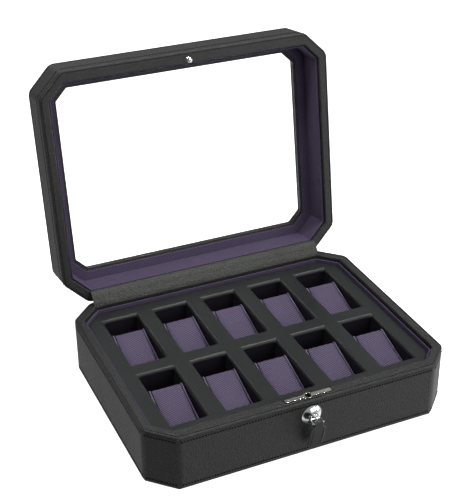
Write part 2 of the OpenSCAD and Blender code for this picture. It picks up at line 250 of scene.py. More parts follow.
leatherTone = (0.0215, 0.0225, 0.0212)
plum = {"dark": (0.017, 0.012, 0.028), "light": (0.138, 0.106, 0.186)}
mats = {
    "leather": leatherMaterial("pebbled leather", leatherTone),
    "fob": leatherMaterial("smooth strap leather", (0.013, 0.014, 0.0125), 1.2 * mm, 0.08 * mm, 0.3,
                           contrast=0.5),
    "fobEdge": plainMaterial("strap edge paint", (0.075, 0.078, 0.072), 0.45, 1500),
    "lidLeather": leatherMaterial("pebbled leather of the lid", leatherTone, turned=True),
    "deck": leatherMaterial("soft deck leather", (0.018, 0.0195, 0.019), 1.3 * mm, 0.08 * mm, 0.28,
                            contrast=0.6),
    "web": leatherMaterial("grained strip leather", (0.040, 0.042, 0.037), 2.3 * mm, 0.6 * mm, 0.38,
                           contrast=1.2),
    "lining": twillMaterial("plum lining", plum["dark"], plum["light"], 2.2 * mm, 0.7, False, 0.4),
    "lidLining": twillMaterial("plum lining of the lid", plum["dark"], plum["light"], 2.2 * mm, 0.7,
                               True, 0.4),
    # the purple lining of the wells is darkened to near-black, painted shade for the dim inside of the wells
    "cell": twillMaterial("dark cell lining", (0.005, 0.004, 0.008), (0.018, 0.014, 0.026), 1.8 * mm, 0.7),
    "cushion": twillMaterial("cushion twill", (0.022, 0.016, 0.036), (0.170, 0.137, 0.222), 2.5 * mm, 0.36),
    "cushionCore": plainMaterial("black cushion cloth", (0.010, 0.009, 0.013), 0.9, 1500),
    "piping": plainMaterial("cushion piping", (0.20, 0.165, 0.25), 0.6, 1500),
    # near-black stitches: partly the dark thread, partly painted shade of the stitch holes
    "thread": plainMaterial("black thread", (0.0015, 0.0015, 0.0015), 0.95, 2500, gloss=0.04),
    "felt": plainMaterial("black felt", (0.012, 0.012, 0.013), 0.95, 1200, 0.5, 0.2 * mm),
    "chrome": metalMaterial("polished chrome", (0.86, 0.87, 0.88), 0.07, 0.03),
    "plate": metalMaterial("soft chrome plate", (0.92, 0.90, 0.84), 0.16, 0.06),
    "steel": metalMaterial("brushed hinge steel", (0.55, 0.55, 0.56), 0.28, 0.2),
    "brass": metalMaterial("lock brass", (0.70, 0.52, 0.24), 0.25, 0.2),
    "board": plainMaterial("case board", (0.42, 0.30, 0.18), 0.8, 300, 0.2),
    "glass": glassMaterial(),
}
print("materials made:", len(mats))


def deselect():
    if bpy.context.object and bpy.context.object.mode != "OBJECT":
        bpy.ops.object.mode_set(mode="OBJECT")
    bpy.ops.object.select_all(action="DESELECT")


def activate(piece):
    deselect()
    piece.select_set(True)
    bpy.context.view_layer.objects.active = piece


def startEdit(piece, kind="FACE"):
    activate(piece)
    bpy.ops.object.mode_set(mode="EDIT")
    bpy.ops.mesh.select_mode(type=kind)
    bpy.ops.mesh.select_all(action="DESELECT")


def endEdit():
    bpy.ops.object.mode_set(mode="OBJECT")


def pick(piece, kind, test):  # in edit mode, selects the verts, edges or faces that pass the test
    mesh = bmesh.from_edit_mesh(piece.data)
    bpy.ops.mesh.select_all(action="DESELECT")
    for item in getattr(mesh, kind):
        if test(item):
            item.select_set(True)
    mesh.select_flush_mode()
    bmesh.update_edit_mesh(piece.data)


def middle(edge):
    return (edge.verts[0].co + edge.verts[1].co) / 2


def applyModifier(piece, kind, **settings):
    activate(piece)
    modifier = piece.modifiers.new(kind.lower(), kind)
    for key, value in settings.items():
        setattr(modifier, key, value)
    bpy.ops.object.modifier_apply(modifier=modifier.name)


def bakePlace(piece):
    activate(piece)
    bpy.ops.object.transform_apply(location=True, rotation=True, scale=True)
    return piece


def block(name, low, high):
    deselect()
    low, high = Vector(low), Vector(high)
    bpy.ops.mesh.primitive_cube_add(size=1, location=(low + high) / 2, scale=high - low)
    bpy.context.object.name = name
    return bakePlace(bpy.context.object)


def rod(name, radius, start, end, sides=48):
    deselect()
    start, end = Vector(start), Vector(end)
    along = end - start
    bpy.ops.mesh.primitive_cylinder_add(vertices=sides, radius=radius, depth=along.length,
                                        location=(start + end) / 2,
                                        rotation=along.to_track_quat("Z", "Y").to_euler())
    bpy.context.object.name = name
    return bakePlace(bpy.context.object)


def innerCorner(inset):  # leg of the cut corner, drawn in by inset
    return case["corner"] - inset * (2 - math.sqrt(2))


def deepenFront(piece, inset):  # the front walls are thicker, so inner outlines lie further back there
    line = inset - case["depth"] / 2
    for vert in piece.data.vertices:
        if abs(vert.co.y - line) < near:
            vert.co.y += case["frontExtra"]
            vert.co.x += math.copysign(case["frontExtra"], vert.co.x)


def octagonBlock(name, inset, low, high, corner=None):
    x, y = case["width"] / 2 - inset, case["depth"] / 2 - inset
    piece = block(name, (-x, -y, low), (x, y, high))
    startEdit(piece, "EDGE")
    pick(piece, "edges", lambda e: abs(e.verts[0].co.z - e.verts[1].co.z) > (high - low) / 2)
    bpy.ops.mesh.bevel(offset=corner or innerCorner(inset), segments=1, affect="EDGES")
    endEdit()
    if not corner and inset > case["thickFrom"]:
        deepenFront(piece, inset)
    return piece


def walkCap(piece, up, steps):  # carries the top or bottom face through insets and moves
    pick(piece, "faces", lambda f: f.normal.z * up > facing)
    for kind, amount in steps:
        if kind == "in":
            bpy.ops.mesh.inset(thickness=amount, depth=0, use_even_offset=True)
        else:
            bpy.ops.mesh.extrude_region_move(TRANSFORM_OT_translate={"value": (0, 0, amount)})


def squareUp(piece, inset):  # puts the front line of the two inner faces back at the plain inset
    mesh = bmesh.from_edit_mesh(piece.data)
    for face in (f for f in mesh.faces if len(f.verts) == 8):
        low = min(v.co.y for v in face.verts)
        for vert in face.verts:
            if vert.co.y < low + near:
                vert.co.y = inset - case["depth"] / 2
    bmesh.update_edit_mesh(piece.data)


def openThrough(piece, corner=None):  # joins the two eight-sided faces with walls, which leaves a ring
    pick(piece, "faces", lambda f: len(f.verts) == 8)
    if corner:
        mesh = bmesh.from_edit_mesh(piece.data)
        for face in (f for f in mesh.faces if f.select):
            x = max(abs(v.co.x) for v in face.verts)
            y = max(abs(v.co.y) for v in face.verts)
            for vert in face.verts:
                if abs(vert.co.x) > x - near:
                    vert.co.y = math.copysign(y - corner, vert.co.y)
                else:
                    vert.co.x = math.copysign(x - corner, vert.co.x)
        bmesh.update_edit_mesh(piece.data)
    bpy.ops.mesh.delete(type="ONLY_FACE")
    pick(piece, "edges", lambda e: e.is_boundary)
    bpy.ops.mesh.bridge_edge_loops()


def octagonRing(name, outer, inner, low, high, corner=None, outerCorner=None):
    piece = octagonBlock(name, outer, low, high, outerCorner)
    startEdit(piece)
    walkCap(piece, 1, [("in", inner - outer)])
    walkCap(piece, -1, [("in", inner - outer)])
    if corner:
        squareUp(piece, inner)
    openThrough(piece, corner)
    endEdit()
    return piece


def cutAway(piece, cutter):
    applyModifier(piece, "BOOLEAN", operation="DIFFERENCE", object=cutter, solver="EXACT")
    bpy.data.objects.remove(cutter)


def roundEdges(piece, radius, segments=3, angle=40, clamp=True):
    applyModifier(piece, "BEVEL", width=radius, segments=segments, limit_method="ANGLE",
                  angle_limit=math.radians(angle), use_clamp_overlap=clamp)


def smooth(piece, angle=35):
    activate(piece)
    bpy.ops.object.shade_smooth_by_angle(angle=math.radians(angle))
    applyModifier(piece, "WEIGHTED_NORMAL", keep_sharp=True, weight=80)


def openLid(piece):
    piece.matrix_world = lidOpening @ piece.matrix_world
    return bakePlace(piece)


def join(pieces, name):
    deselect()
    for piece in pieces:
        piece.select_set(True)
    bpy.context.view_layer.objects.active = pieces[0]
    if len(pieces) > 1:
        bpy.ops.object.join()
    bpy.context.object.name = name
    return bpy.context.object


def copyOf(piece, name):
    twin = piece.copy()
    twin.data = piece.data.copy()
    twin.name = name
    bpy.context.collection.objects.link(twin)
    return twin


def finishPiece(piece, body, finish, replaced=(), name=None):
    if name:
        piece.name = name
    piece.data.materials.clear()
    piece.data.materials.append(mats[finish])
    if body:
        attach(piece, body)
    if replaced:
        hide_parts(*replaced)
    return piece


def dress(node, finish):  # a CAD node whose shape is right gets its real finish
    data = nodes[node].data
    data.materials.clear()
    data.materials.append(mats[finish])


stitch = {"pitch": 3.0 * mm, "length": 1.8 * mm, "thick": 1.5 * mm, "proud": 0.5 * mm, "endGap": 3.2 * mm,
          "outset": 0.02 * mm, "slant": math.radians(7)}


def stitchRow(name, height, body, onLid=False):  # a row of stitches right round the case
    x, y = case["width"] / 2 + stitch["outset"], case["depth"] / 2 + stitch["outset"]
    c = innerCorner(-stitch["outset"])
    turns = [(x, y - c), (x - c, y), (c - x, y), (-x, y - c),
             (-x, c - y), (c - x, -y), (x - c, -y), (x, c - y)]
    sides = []
    for start, end in zip(turns, turns[1:] + turns[:1]):
        start, end = Vector((*start, height)), Vector((*end, height))
        along = end - start
        count = int((along.length - 2 * stitch["endGap"]) / stitch["pitch"]) + 1
        first = start + along.normalized() * (along.length - (count - 1) * stitch["pitch"]) / 2
        deselect()
        bpy.ops.mesh.primitive_uv_sphere_add(segments=6, ring_count=5, radius=1)
        one = bpy.context.object
        one.scale = (stitch["thick"] / 2, stitch["proud"], stitch["length"] / 2)
        one.rotation_euler = (0, math.pi / 2 + stitch["slant"], 0)
        bakePlace(one)
        applyModifier(one, "ARRAY", count=count, use_relative_offset=False, use_constant_offset=True,
                      constant_offset_displace=(stitch["pitch"], 0, 0))
        one.matrix_world = Matrix.Translation(first) @ along.to_track_quat("X", "Z").to_matrix().to_4x4()
        sides.append(bakePlace(one))
    row = join(sides, name)
    if onLid:
        openLid(row)
    activate(row)
    bpy.ops.object.shade_smooth()
    return finishPiece(row, body, "thread")


groove = {"seam": (0.9 * mm, 0.3 * mm), "fold": (0.5 * mm, 0.6 * mm), "skin": 2 * mm, "near": 0.05 * mm}


def pressGroove(piece, height, kind="seam"):  # a line pressed or pulled into the outside of a wrap
    half, depth = groove[kind]
    x0, y0 = case["width"] / 2, case["depth"] / 2
    startEdit(piece)
    for level in (height - half, height, height + half):
        bpy.ops.mesh.select_all(action="SELECT")
        bpy.ops.mesh.bisect(plane_co=(0, 0, level), plane_no=(0, 0, 1))
    bpy.ops.mesh.select_mode(type="VERT")

    def outside(vert):
        x, y = abs(vert.co.x), abs(vert.co.y)
        reach = max(x - x0, y - y0, (x + y - x0 - y0 + case["corner"]) / math.sqrt(2))
        return reach > -groove["skin"]

    pick(piece, "verts", lambda v: abs(v.co.z - height) < groove["near"] and outside(v))
    bpy.ops.transform.shrink_fatten(value=-depth)
    endEdit()


# The leather wrap of the base, with its edge, corner and rim line shared by the lid
base = {"edge": 1.8 * mm, "seamTop": 55.9 * mm, "seamLow": 4.9 * mm, "foldTop": 58.7 * mm, "lift": 0.3 * mm,
        "boardTop": 5 * mm, "slit": 0.7 * mm, "corner": 4.5 * mm, "rimLine": (2.1 * mm, 2.9 * mm, 0.9 * mm),
        "liningDrop": 1.5 * mm, "liningEdge": 0.6 * mm, "upright": 20 * mm}


def softenUprights(piece):  # rounds the upright corners of the outline
    edge = case["width"] / 2, case["depth"] / 2
    startEdit(piece, "EDGE")

    def outerUpright(e):
        at = middle(e)
        upright = abs(e.verts[0].co.z - e.verts[1].co.z) > base["upright"]
        reach = max(abs(at.x) - edge[0], abs(at.y) - edge[1])
        return upright and reach > -0.1 * mm

    pick(piece, "edges", outerUpright)
    bpy.ops.mesh.bevel(offset=base["corner"], segments=5, affect="EDGES")
    endEdit()


def cutRimLine(piece, height, inward):  # a fine groove that sets off the turned edge of the rim
    outer, inner, deep = base["rimLine"]
    ends = sorted((height - inward * 0.5 * mm, height + inward * deep))
    cutAway(piece, octagonRing("rim_line", outer, inner, *ends))


strikeLow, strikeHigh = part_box("strike_plate")
boltLow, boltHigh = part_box("lock_bolt")
strike = {"y": (strikeLow.y + strikeHigh.y) / 2, "half": 2.4 * mm, "boss": 4.6 * mm, "hole": 3.4 * mm,
          "proud": 0.15 * mm, "edge": 0.6 * mm, "recess": 0.8 * mm, "recessDeep": 1.2 * mm,
          "pocket": 6.5 * mm, "pocketSnug": 0.2 * mm, "throw": 6 * mm, "play": 0.3 * mm,
          "screwX": 21 * mm, "screwHead": 1.5 * mm, "screwTall": 0.8 * mm, "screwProud": 0.2 * mm}


def cutStrikePocket(wrap):  # the recess round the strike plate and the hole below it for the stud
    y, top = strike["y"], case["height"] + 1 * mm
    low = strikeHigh.z - strike["recessDeep"]
    wide, half = strikeHigh.x + strike["recess"], strike["half"] + strike["recess"]
    cutAway(wrap, block("recess", (-wide, y - half, low), (wide, y + half, top)))
    cutAway(wrap, rod("boss_recess", strike["boss"] + strike["recess"], (0, y, low), (0, y, top)))
    cutAway(wrap, rod("pocket", strike["hole"] - strike["pocketSnug"],
                      (0, y, strikeHigh.z - strike["pocket"]), (0, y, top)))
    room = Vector((strike["play"],) * 3)
    cutAway(wrap, block("bolt_way", boltLow - room - Vector((strike["throw"], 0, 0)), boltHigh + room))


def makeBaseWrap():
    wrap = octagonBlock("base_wrap", 0, base["lift"], case["height"])
    startEdit(wrap)
    walkCap(wrap, 1, [("in", case["rim"]), ("rise", base["boardTop"] - case["height"])])
    walkCap(wrap, -1, [("in", case["rim"])])
    openThrough(wrap)
    endEdit()
    deepenFront(wrap, case["rim"])
    softenUprights(wrap)
    roundEdges(wrap, base["edge"], 4)
    cutRimLine(wrap, case["height"], -1)
    cutStrikePocket(wrap)
    for height in (base["seamTop"], base["seamLow"]):
        pressGroove(wrap, height)
    pressGroove(wrap, base["foldTop"], "fold")
    smooth(wrap)
    finishPiece(wrap, "base", "leather", ["base_leather"])
    stitchRow("base_stitches_top", base["seamTop"], "base")
    stitchRow("base_stitches_low", base["seamLow"], "base")


def makeBaseLining():
    lining = octagonRing("base_lining_board", case["rim"] + base["slit"], case["lined"] + base["slit"],
                         base["boardTop"], liningTop.z - base["liningDrop"])
    roundEdges(lining, base["liningEdge"])
    smooth(lining)
    finishPiece(lining, "base", "lining", ["base_lining"])


makeBaseWrap()
makeBaseLining()
for node in ("base_core", "base_floor", "lid_core", "lid_top_board"):
    dress(node, "board")
# the rails, dividers, floor and linings of the wells take the near-black lining with painted shade
for node in ("tray_rails", "tray_dividers", "compartment_floor", "cell_linings"):
    dress(node, "cell")
dress("underside_felt", "felt")
print("base made")


# The deck of the tray is one padded skin with ten wells
tray = {"lip": 3.2 * mm, "depth": 3.9 * mm, "skin": 0.8 * mm, "margin": 0.25 * mm, "fall": 4.5 * mm,
        "rise": 1.2 * mm, "gap": 0.3 * mm, "weld": 0.8 * mm}
cell = {"width": 38 * mm, "length": 88 * mm, "liner": 1 * mm}
cellLow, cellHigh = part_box("cell_linings")
cushionBoxes = [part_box(f"cushion_core_{i}") for i in range(1, 11)]
columnsX = sorted({round((low.x + high.x) / 2, 6) for low, high in cushionBoxes})
rowsY = (cellLow.y + cell["liner"] + cell["length"] / 2, cellHigh.y - cell["liner"] - cell["length"] / 2)


def makeDeck():
    deck = octagonBlock("tray_deck", case["lined"] + base["slit"] + tray["gap"], case["deck"] - tray["fall"],
                        case["deck"] + tray["rise"])
    halfX, halfY = cell["width"] / 2 - tray["margin"], cell["length"] / 2 - tray["margin"]
    startEdit(deck)
    pick(deck, "faces", lambda f: f.normal.z < -facing)
    bpy.ops.mesh.delete(type="FACE")
    for place in [c + s * halfX for c in columnsX for s in (-1, 1)]:
        bpy.ops.mesh.select_all(action="SELECT")
        bpy.ops.mesh.bisect(plane_co=(place, 0, 0), plane_no=(1, 0, 0))
    for place in [c + s * halfY for c in rowsY for s in (-1, 1)]:
        bpy.ops.mesh.select_all(action="SELECT")
        bpy.ops.mesh.bisect(plane_co=(0, place, 0), plane_no=(0, 1, 0))

    def overCell(face):
        at = face.calc_center_median()
        inX = any(abs(at.x - c) < halfX for c in columnsX)
        inY = any(abs(at.y - c) < halfY for c in rowsY)
        return face.normal.z > facing and inX and inY

    pick(deck, "faces", overCell)
    bpy.ops.mesh.extrude_region_move(TRANSFORM_OT_translate={"value": (0, 0, -tray["depth"])})
    bpy.ops.mesh.delete(type="FACE")
    bpy.ops.mesh.select_all(action="SELECT")
    bpy.ops.mesh.remove_doubles(threshold=tray["weld"])
    endEdit()
    roundEdges(deck, tray["lip"], 6, clamp=False)
    applyModifier(deck, "SOLIDIFY", thickness=tray["skin"], offset=-1)
    smooth(deck, 50)
    finishPiece(deck, "base", "deck", ["tray_top"])


makeDeck()
print("deck made")


cushion = {"voxel": 3 * mm, "pressure": 4, "frames": 20, "shrink": 0.3 * mm, "swell": 0.8 * mm,
           "sag": 0.9 * mm, "sleeveHalf": 15.0 * mm, "sleeveThick": 0.8 * mm, "sleeveLift": 0.15 * mm,
           "sleeveEdge": 0.25 * mm, "endFrom": 13.5 * mm, "endSwell": 0.4 * mm, "pipingAt": 17.2 * mm,
           "pipingIn": 0.3 * mm, "pipingRadius": 0.6 * mm, "yaw": 0.6, "fill": 0.8, "seed": 4}


def swellPad(pad):  # the cover swells over its stuffing, and no point moves further than the swell
    start = [v.co.copy() for v in pad.data.vertices]
    activate(pad)
    cloth = pad.modifiers.new("cover", "CLOTH")
    cloth.settings.use_pressure = True
    cloth.settings.uniform_pressure_force = cushion["pressure"]
    cloth.settings.effector_weights.gravity = 0
    cloth.point_cache.frame_end = cushion["frames"]
    for step in range(1, cushion["frames"] + 1):
        bpy.context.scene.frame_set(step)
    bpy.ops.object.modifier_apply(modifier=cloth.name)
    bpy.context.scene.frame_set(1)
    for vert, home in zip(pad.data.vertices, start):
        move = vert.co - home
        if move.length > cushion["swell"]:
            vert.co = home + move.normalized() * cushion["swell"]


def makeCushionBody():
    # starts as the plain wedge of the frame, a little smaller, so that the swollen cover fills its place
    low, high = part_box("cushion_core_1")
    centre = (low + high) / 2
    pad = copyOf(nodes["cushion_core_1"], "cushion_pad")
    pad.data.materials.clear()
    for vert in pad.data.vertices:
        for axis in range(3):
            half = (high[axis] - low[axis]) / 2
            vert.co[axis] = centre[axis] + (vert.co[axis] - centre[axis]) * (half - cushion["shrink"]) / half
    applyModifier(pad, "REMESH", mode="VOXEL", voxel_size=cushion["voxel"])
    swellPad(pad)
    applyModifier(pad, "SUBSURF", levels=1, render_levels=1)
    for vert in pad.data.vertices:
        vert.co.z = max(vert.co.z, low.z - cushion["sag"])
    return pad, centre


def makeSleeve(pad, centre):
    sleeve = copyOf(pad, "cushion_sleeve")
    startEdit(sleeve)
    for side in (-1, 1):
        bpy.ops.mesh.select_all(action="SELECT")
        bpy.ops.mesh.bisect(plane_co=(centre.x + side * cushion["sleeveHalf"], 0, 0), plane_no=(side, 0, 0),
                            clear_outer=True)
    bpy.ops.mesh.select_all(action="SELECT")
    bpy.ops.transform.shrink_fatten(value=cushion["sleeveLift"])
    endEdit()
    applyModifier(sleeve, "SOLIDIFY", thickness=cushion["sleeveThick"], offset=1)
    roundEdges(sleeve, cushion["sleeveEdge"], 2, 60)
    return sleeve


def makeEnds(centre):
    # the flat end panels and the piping around them, both from the plain wedge
    panels, rings = [], []
    for side in (-1, 1):
        panel = copyOf(nodes["cushion_core_1"], "end_panel")
        startEdit(panel, "EDGE")
        bpy.ops.mesh.select_all(action="SELECT")
        bpy.ops.transform.shrink_fatten(value=-cushion["endSwell"])
        for cut, away in ((cushion["endFrom"], -side), (cushion["pipingAt"], side)):
            bpy.ops.mesh.select_all(action="SELECT")
            bpy.ops.mesh.bisect(plane_co=(centre.x + side * cut, 0, 0), plane_no=(away, 0, 0),
                                clear_outer=True, use_fill=True)
        endEdit()
        ring = copyOf(panel, "piping")
        startEdit(ring, "EDGE")
        bpy.ops.mesh.select_all(action="SELECT")
        at = centre.x + side * (cushion["pipingAt"] - cushion["pipingIn"])
        bpy.ops.mesh.bisect(plane_co=(at, 0, 0), plane_no=(1, 0, 0), clear_inner=True, clear_outer=True)
        endEdit()
        activate(ring)
        bpy.ops.object.convert(target="CURVE")
        ring.data.bevel_depth = cushion["pipingRadius"]
        ring.data.bevel_resolution = 2
        bpy.ops.object.convert(target="MESH")
        panels.append(panel)
        rings.append(ring)
    return join(panels, "cushion_ends"), join(rings, "cushion_piping")


def makeCushions():
    pad, centre = makeCushionBody()
    sleeve = makeSleeve(pad, centre)
    ends, piping = makeEnds(centre)
    parts = [(pad, "cushionCore", "core"), (sleeve, "cushion", "sleeve"), (ends, "cushionCore", "ends"),
             (piping, "piping", "piping")]
    for part, _, _ in parts:
        activate(part)
        bpy.ops.object.shade_smooth_by_angle(angle=math.radians(50))
    chance = random.Random(cushion["seed"])
    for i, (low, high) in enumerate(cushionBoxes, 1):
        turn = Matrix.Rotation(math.radians(chance.uniform(-cushion["yaw"], cushion["yaw"])), 4, "Z")
        home = (low + high) / 2
        for part, finish, word in parts:
            one = copyOf(part, f"cushion_{i}_{word}")
            one.matrix_world = Matrix.Translation(home) @ turn @ Matrix.Translation(-centre)
            bakePlace(one)
            replaced = {"core": [f"cushion_core_{i}"], "sleeve": [f"cushion_sleeve_{i}"]}.get(word, [])
            finishPiece(one, f"cushion_{i}", finish, replaced)
            word == "core"
    for part, _, _ in parts:
        bpy.data.objects.remove(part)


makeCushions()
print("cushions made")


roseLow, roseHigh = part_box("lock_rose")
lock = {"z": (roseLow.z + roseHigh.z) / 2, "radius": (roseHigh.z - roseLow.z) / 2, "dome": 5 * mm,
        "flange": 0.5 * mm, "shell": 0.4 * mm, "throat": 2 * mm, "plug": 4.5 * mm, "plugPlay": 0.15 * mm,
        "plugSunk": 0.3 * mm, "plugLong": 12 * mm, "plugEdge": 0.4 * mm, "keyway": 1.6 * mm,
        "keywayDeep": 9 * mm, "slotHalf": 0.8 * mm, "slotTall": 3.2 * mm}


def makeRose():
    # a cap cut from a sphere, with a flange and a hole for the plug
    sphere = (lock["radius"] ** 2 + lock["dome"] ** 2) / (2 * lock["dome"])
    face = case["front"]
    centre = Vector((0, face - lock["flange"] - lock["dome"] + sphere, lock["z"]))
    deselect()
    bpy.ops.mesh.primitive_uv_sphere_add(segments=64, ring_count=64, radius=sphere, location=centre,
                                         rotation=(math.pi / 2, 0, 0))
    rose = bakePlace(bpy.context.object)
    startEdit(rose)
    bpy.ops.mesh.select_all(action="SELECT")
    bpy.ops.mesh.bisect(plane_co=(0, face - lock["flange"], 0), plane_no=(0, 1, 0), clear_outer=True)
    bpy.ops.mesh.select_mode(type="VERT")

    def fromAxis(place):
        return math.hypot(place.x, place.z - lock["z"])

    pick(rose, "verts", lambda v: fromAxis(v.co) < lock["plug"])
    bpy.ops.mesh.delete(type="VERT")
    bpy.ops.mesh.select_mode(type="EDGE")
    pick(rose, "edges", lambda e: e.is_boundary and middle(e).y < face - lock["throat"])
    bpy.ops.mesh.extrude_region_move(TRANSFORM_OT_translate={"value": (0, lock["throat"], 0)})
    pick(rose, "edges", lambda e: e.is_boundary and middle(e).y > face - lock["throat"]
         and fromAxis(middle(e)) > lock["plug"] + lock["throat"])
    bpy.ops.mesh.extrude_region_move(TRANSFORM_OT_translate={"value": (0, lock["flange"], 0)})
    endEdit()
    applyModifier(rose, "SOLIDIFY", thickness=lock["shell"], offset=-1)
    smooth(rose, 40)
    finishPiece(rose, "base", "chrome", ["lock_rose"], "lock_dome")


def makePlug():
    face = case["front"] - lock["dome"] - lock["flange"]
    plug = rod("lock_plug_face", lock["plug"] - lock["plugPlay"], (0, face + lock["plugSunk"], lock["z"]),
               (0, face + lock["plugLong"], lock["z"]), 64)
    roundEdges(plug, lock["plugEdge"])
    start, end = face - 2 * mm, face + lock["keywayDeep"]
    cutAway(plug, rod("keyway", lock["keyway"], (0, start, lock["z"]), (0, end, lock["z"]), 32))
    cutAway(plug, block("slot", (-lock["slotHalf"], start, lock["z"] - lock["slotTall"]),
                        (lock["slotHalf"], end, lock["z"])))
    smooth(plug, 30)
    finishPiece(plug, "plug", "chrome", ["lock_plug"])


fob = {"bar": Vector((0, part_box("key")[0].y + 1 * mm, lock["z"])), "loop": 1.75 * mm, "loopShare": 0.16,
       "closeBy": 4 * mm, "neck": 3.7 * mm, "neckEnd": 2.5 * mm, "shoulder": 4.5 * mm, "half": 7 * mm,
       "long": 33 * mm, "foot": 3.5 * mm, "footRound": 0.62, "sweep": 8.5 * mm, "setBack": 0.5 * mm,
       "layer": 0.72 * mm, "thick": 1.4 * mm, "edge": 0.2 * mm}
fobStitch = {"count": 13, "from": 0.36, "step": 0.046, "ahead": 0.02, "inset": 1.6 * mm,
             "size": (0.34 * mm, 0.25 * mm, 0.75 * mm)}


def ease(t):  # from 0 to 1 with a soft start and end
    t = min(max(t, 0), 1)
    return t * t * (3 - 2 * t)


def fobPlace(s):  # the strip's line, from the foot of the back layer over the bar to the foot of the front
    turn = fob["loopShare"]
    if abs(s) <= turn:
        angle = s / turn * 0.5 * math.pi
        radius = fob["loop"]
        return Vector((0, -math.sin(angle) * radius, math.cos(angle) * radius)) + fob["bar"], 0.0
    down = (abs(s) - turn) / (1 - turn)
    closed = ease(down * fob["long"] / fob["closeBy"])
    gap = fob["loop"] * (1 - closed) + fob["layer"] * closed
    line = Vector((0, fob["sweep"] * down ** 1.5 - fob["setBack"] * closed, -fob["long"] * down))
    return line + fob["bar"] + Vector((0, -math.copysign(gap, s), 0)), down


def makeFob():
    deselect()
    bpy.ops.mesh.primitive_grid_add(x_subdivisions=14, y_subdivisions=90, size=2)
    strip = bpy.context.object
    sides = {v.index for v in strip.data.vertices if abs(v.co.x) > 0.99}
    for vert in strip.data.vertices:
        side, s = vert.co.x, vert.co.y
        place, down = fobPlace(s)
        drop = down * fob["long"]
        half = fob["neck"] + (fob["half"] - fob["neck"]) * ease((drop - fob["neckEnd"]) / fob["shoulder"])
        foot = max(drop - (fob["long"] - fob["foot"]), 0) / fob["foot"]
        half = half * math.sqrt(1 - (foot * fob["footRound"]) ** 2)
        vert.co = place + Vector((side * half, 0, 0))
    edges = copyOf(strip, "strap_edges")
    startEdit(edges, "VERT")
    pick(edges, "verts", lambda v: v.index not in sides)
    bpy.ops.mesh.delete(type="VERT")
    endEdit()
    activate(edges)
    bpy.ops.object.convert(target="CURVE")
    edges.data.bevel_depth = fob["thick"] * 0.52
    edges.data.bevel_resolution = 2
    edges.data.use_fill_caps = True
    bpy.ops.object.convert(target="MESH")
    bpy.ops.object.shade_smooth_by_angle(angle=math.radians(60))
    finishPiece(edges, "fob", "fobEdge", (), "key_fob_edges")
    applyModifier(strip, "SOLIDIFY", thickness=fob["thick"], offset=0)
    applyModifier(strip, "BEVEL", width=fob["edge"], segments=2, limit_method="ANGLE", angle_limit=1.0)
    smooth(strip, 50)
    finishPiece(strip, "fob", "fob", ["key_fob"], "key_fob_strap")
    seams = []
    for side in (-1, 1):
        aside = Vector((side * (fob["half"] - fobStitch["inset"]), -fob["thick"] * 0.55, 0))
        for k in range(fobStitch["count"]):
            s = fobStitch["from"] + k * fobStitch["step"]
            here, there = fobPlace(s)[0], fobPlace(s + fobStitch["ahead"])[0]
            deselect()
            bpy.ops.mesh.primitive_uv_sphere_add(segments=6, ring_count=5, radius=1,
                                                 location=(here + there) / 2 + aside)
            one = bpy.context.object
            one.scale = fobStitch["size"]
            one.rotation_euler = (there - here).to_track_quat("Z", "Y").to_euler()
            seams.append(bakePlace(one))
    finishPiece(join(seams, "key_fob_stitches"), "fob", "thread")


def makeStrike():
    y, top = strike["y"], strikeHigh.z + strike["proud"]
    plate = block("strike_bar", (strikeLow.x, y - strike["half"], strikeLow.z),
                  (strikeHigh.x, y + strike["half"], top))
    boss = rod("boss", strike["boss"], (0, y, strikeLow.z), (0, y, top))
    hole = rod("hole", strike["hole"], (0, y, strikeLow.z - 1 * mm), (0, y, strikeHigh.z + 1 * mm))
    applyModifier(plate, "BOOLEAN", operation="UNION", object=boss, solver="EXACT")
    bpy.data.objects.remove(boss)
    cutAway(plate, hole)
    roundEdges(plate, strike["edge"], 4, 50)
    smooth(plate, 30)
    finishPiece(plate, "base", "plate", ["strike_plate"])
    screws = []
    top = strikeHigh.z + strike["screwProud"]
    for x in (-strike["screwX"], strike["screwX"]):
        head = rod("head", strike["screwHead"], (x, y, top - strike["screwTall"]), (x, y, top), 32)
        roundEdges(head, 0.2 * mm, 2)
        cutAway(head, block("slot", (x - 2 * mm, y - 0.2 * mm, top - 0.35 * mm),
                            (x + 2 * mm, y + 0.2 * mm, top + 1 * mm)))
        smooth(head, 30)
        screws.append(head)
    finishPiece(join(screws, "strike_screw_heads"), "base", "chrome", ["strike_screws"])


makeRose()
makePlug()
makeFob()
makeStrike()
dress("key", "chrome")
dress("lock_case", "steel")
dress("lock_bolt", "brass")
for node in ("base_hinge_leaves", "lid_hinge_leaves", "base_hinge_screws", "lid_hinge_screws", "hinge_pins"):
    dress(node, "steel")
print("lock made")


# The lid is modelled closed and then opened. Its parts are set in from the case's outline.
lid = {"edge": 1.8 * mm, "window": 25.5 * mm, "windowCorner": 13 * mm, "border": 23 * mm, "borderAt": 33 * mm,
       "borderThick": 2.6 * mm, "borderEdge": 0.9 * mm, "borderSink": 0.2 * mm, "borderLap": 0.1 * mm,
       "liningDrop": 3 * mm, "liningEdge": 0.6 * mm, "rimSeam": 9.5 * mm, "fold": 3 * mm, "topSeam": 5 * mm}
bead = {"lap": 0.3 * mm, "reach": 0.4 * mm, "sunk": 0.9 * mm, "proud": 0.05 * mm, "edge": 0.5 * mm}
glass = {"thick": 3 * mm, "lap": 1.2 * mm, "gap": 0.3 * mm, "edge": 0.3 * mm}


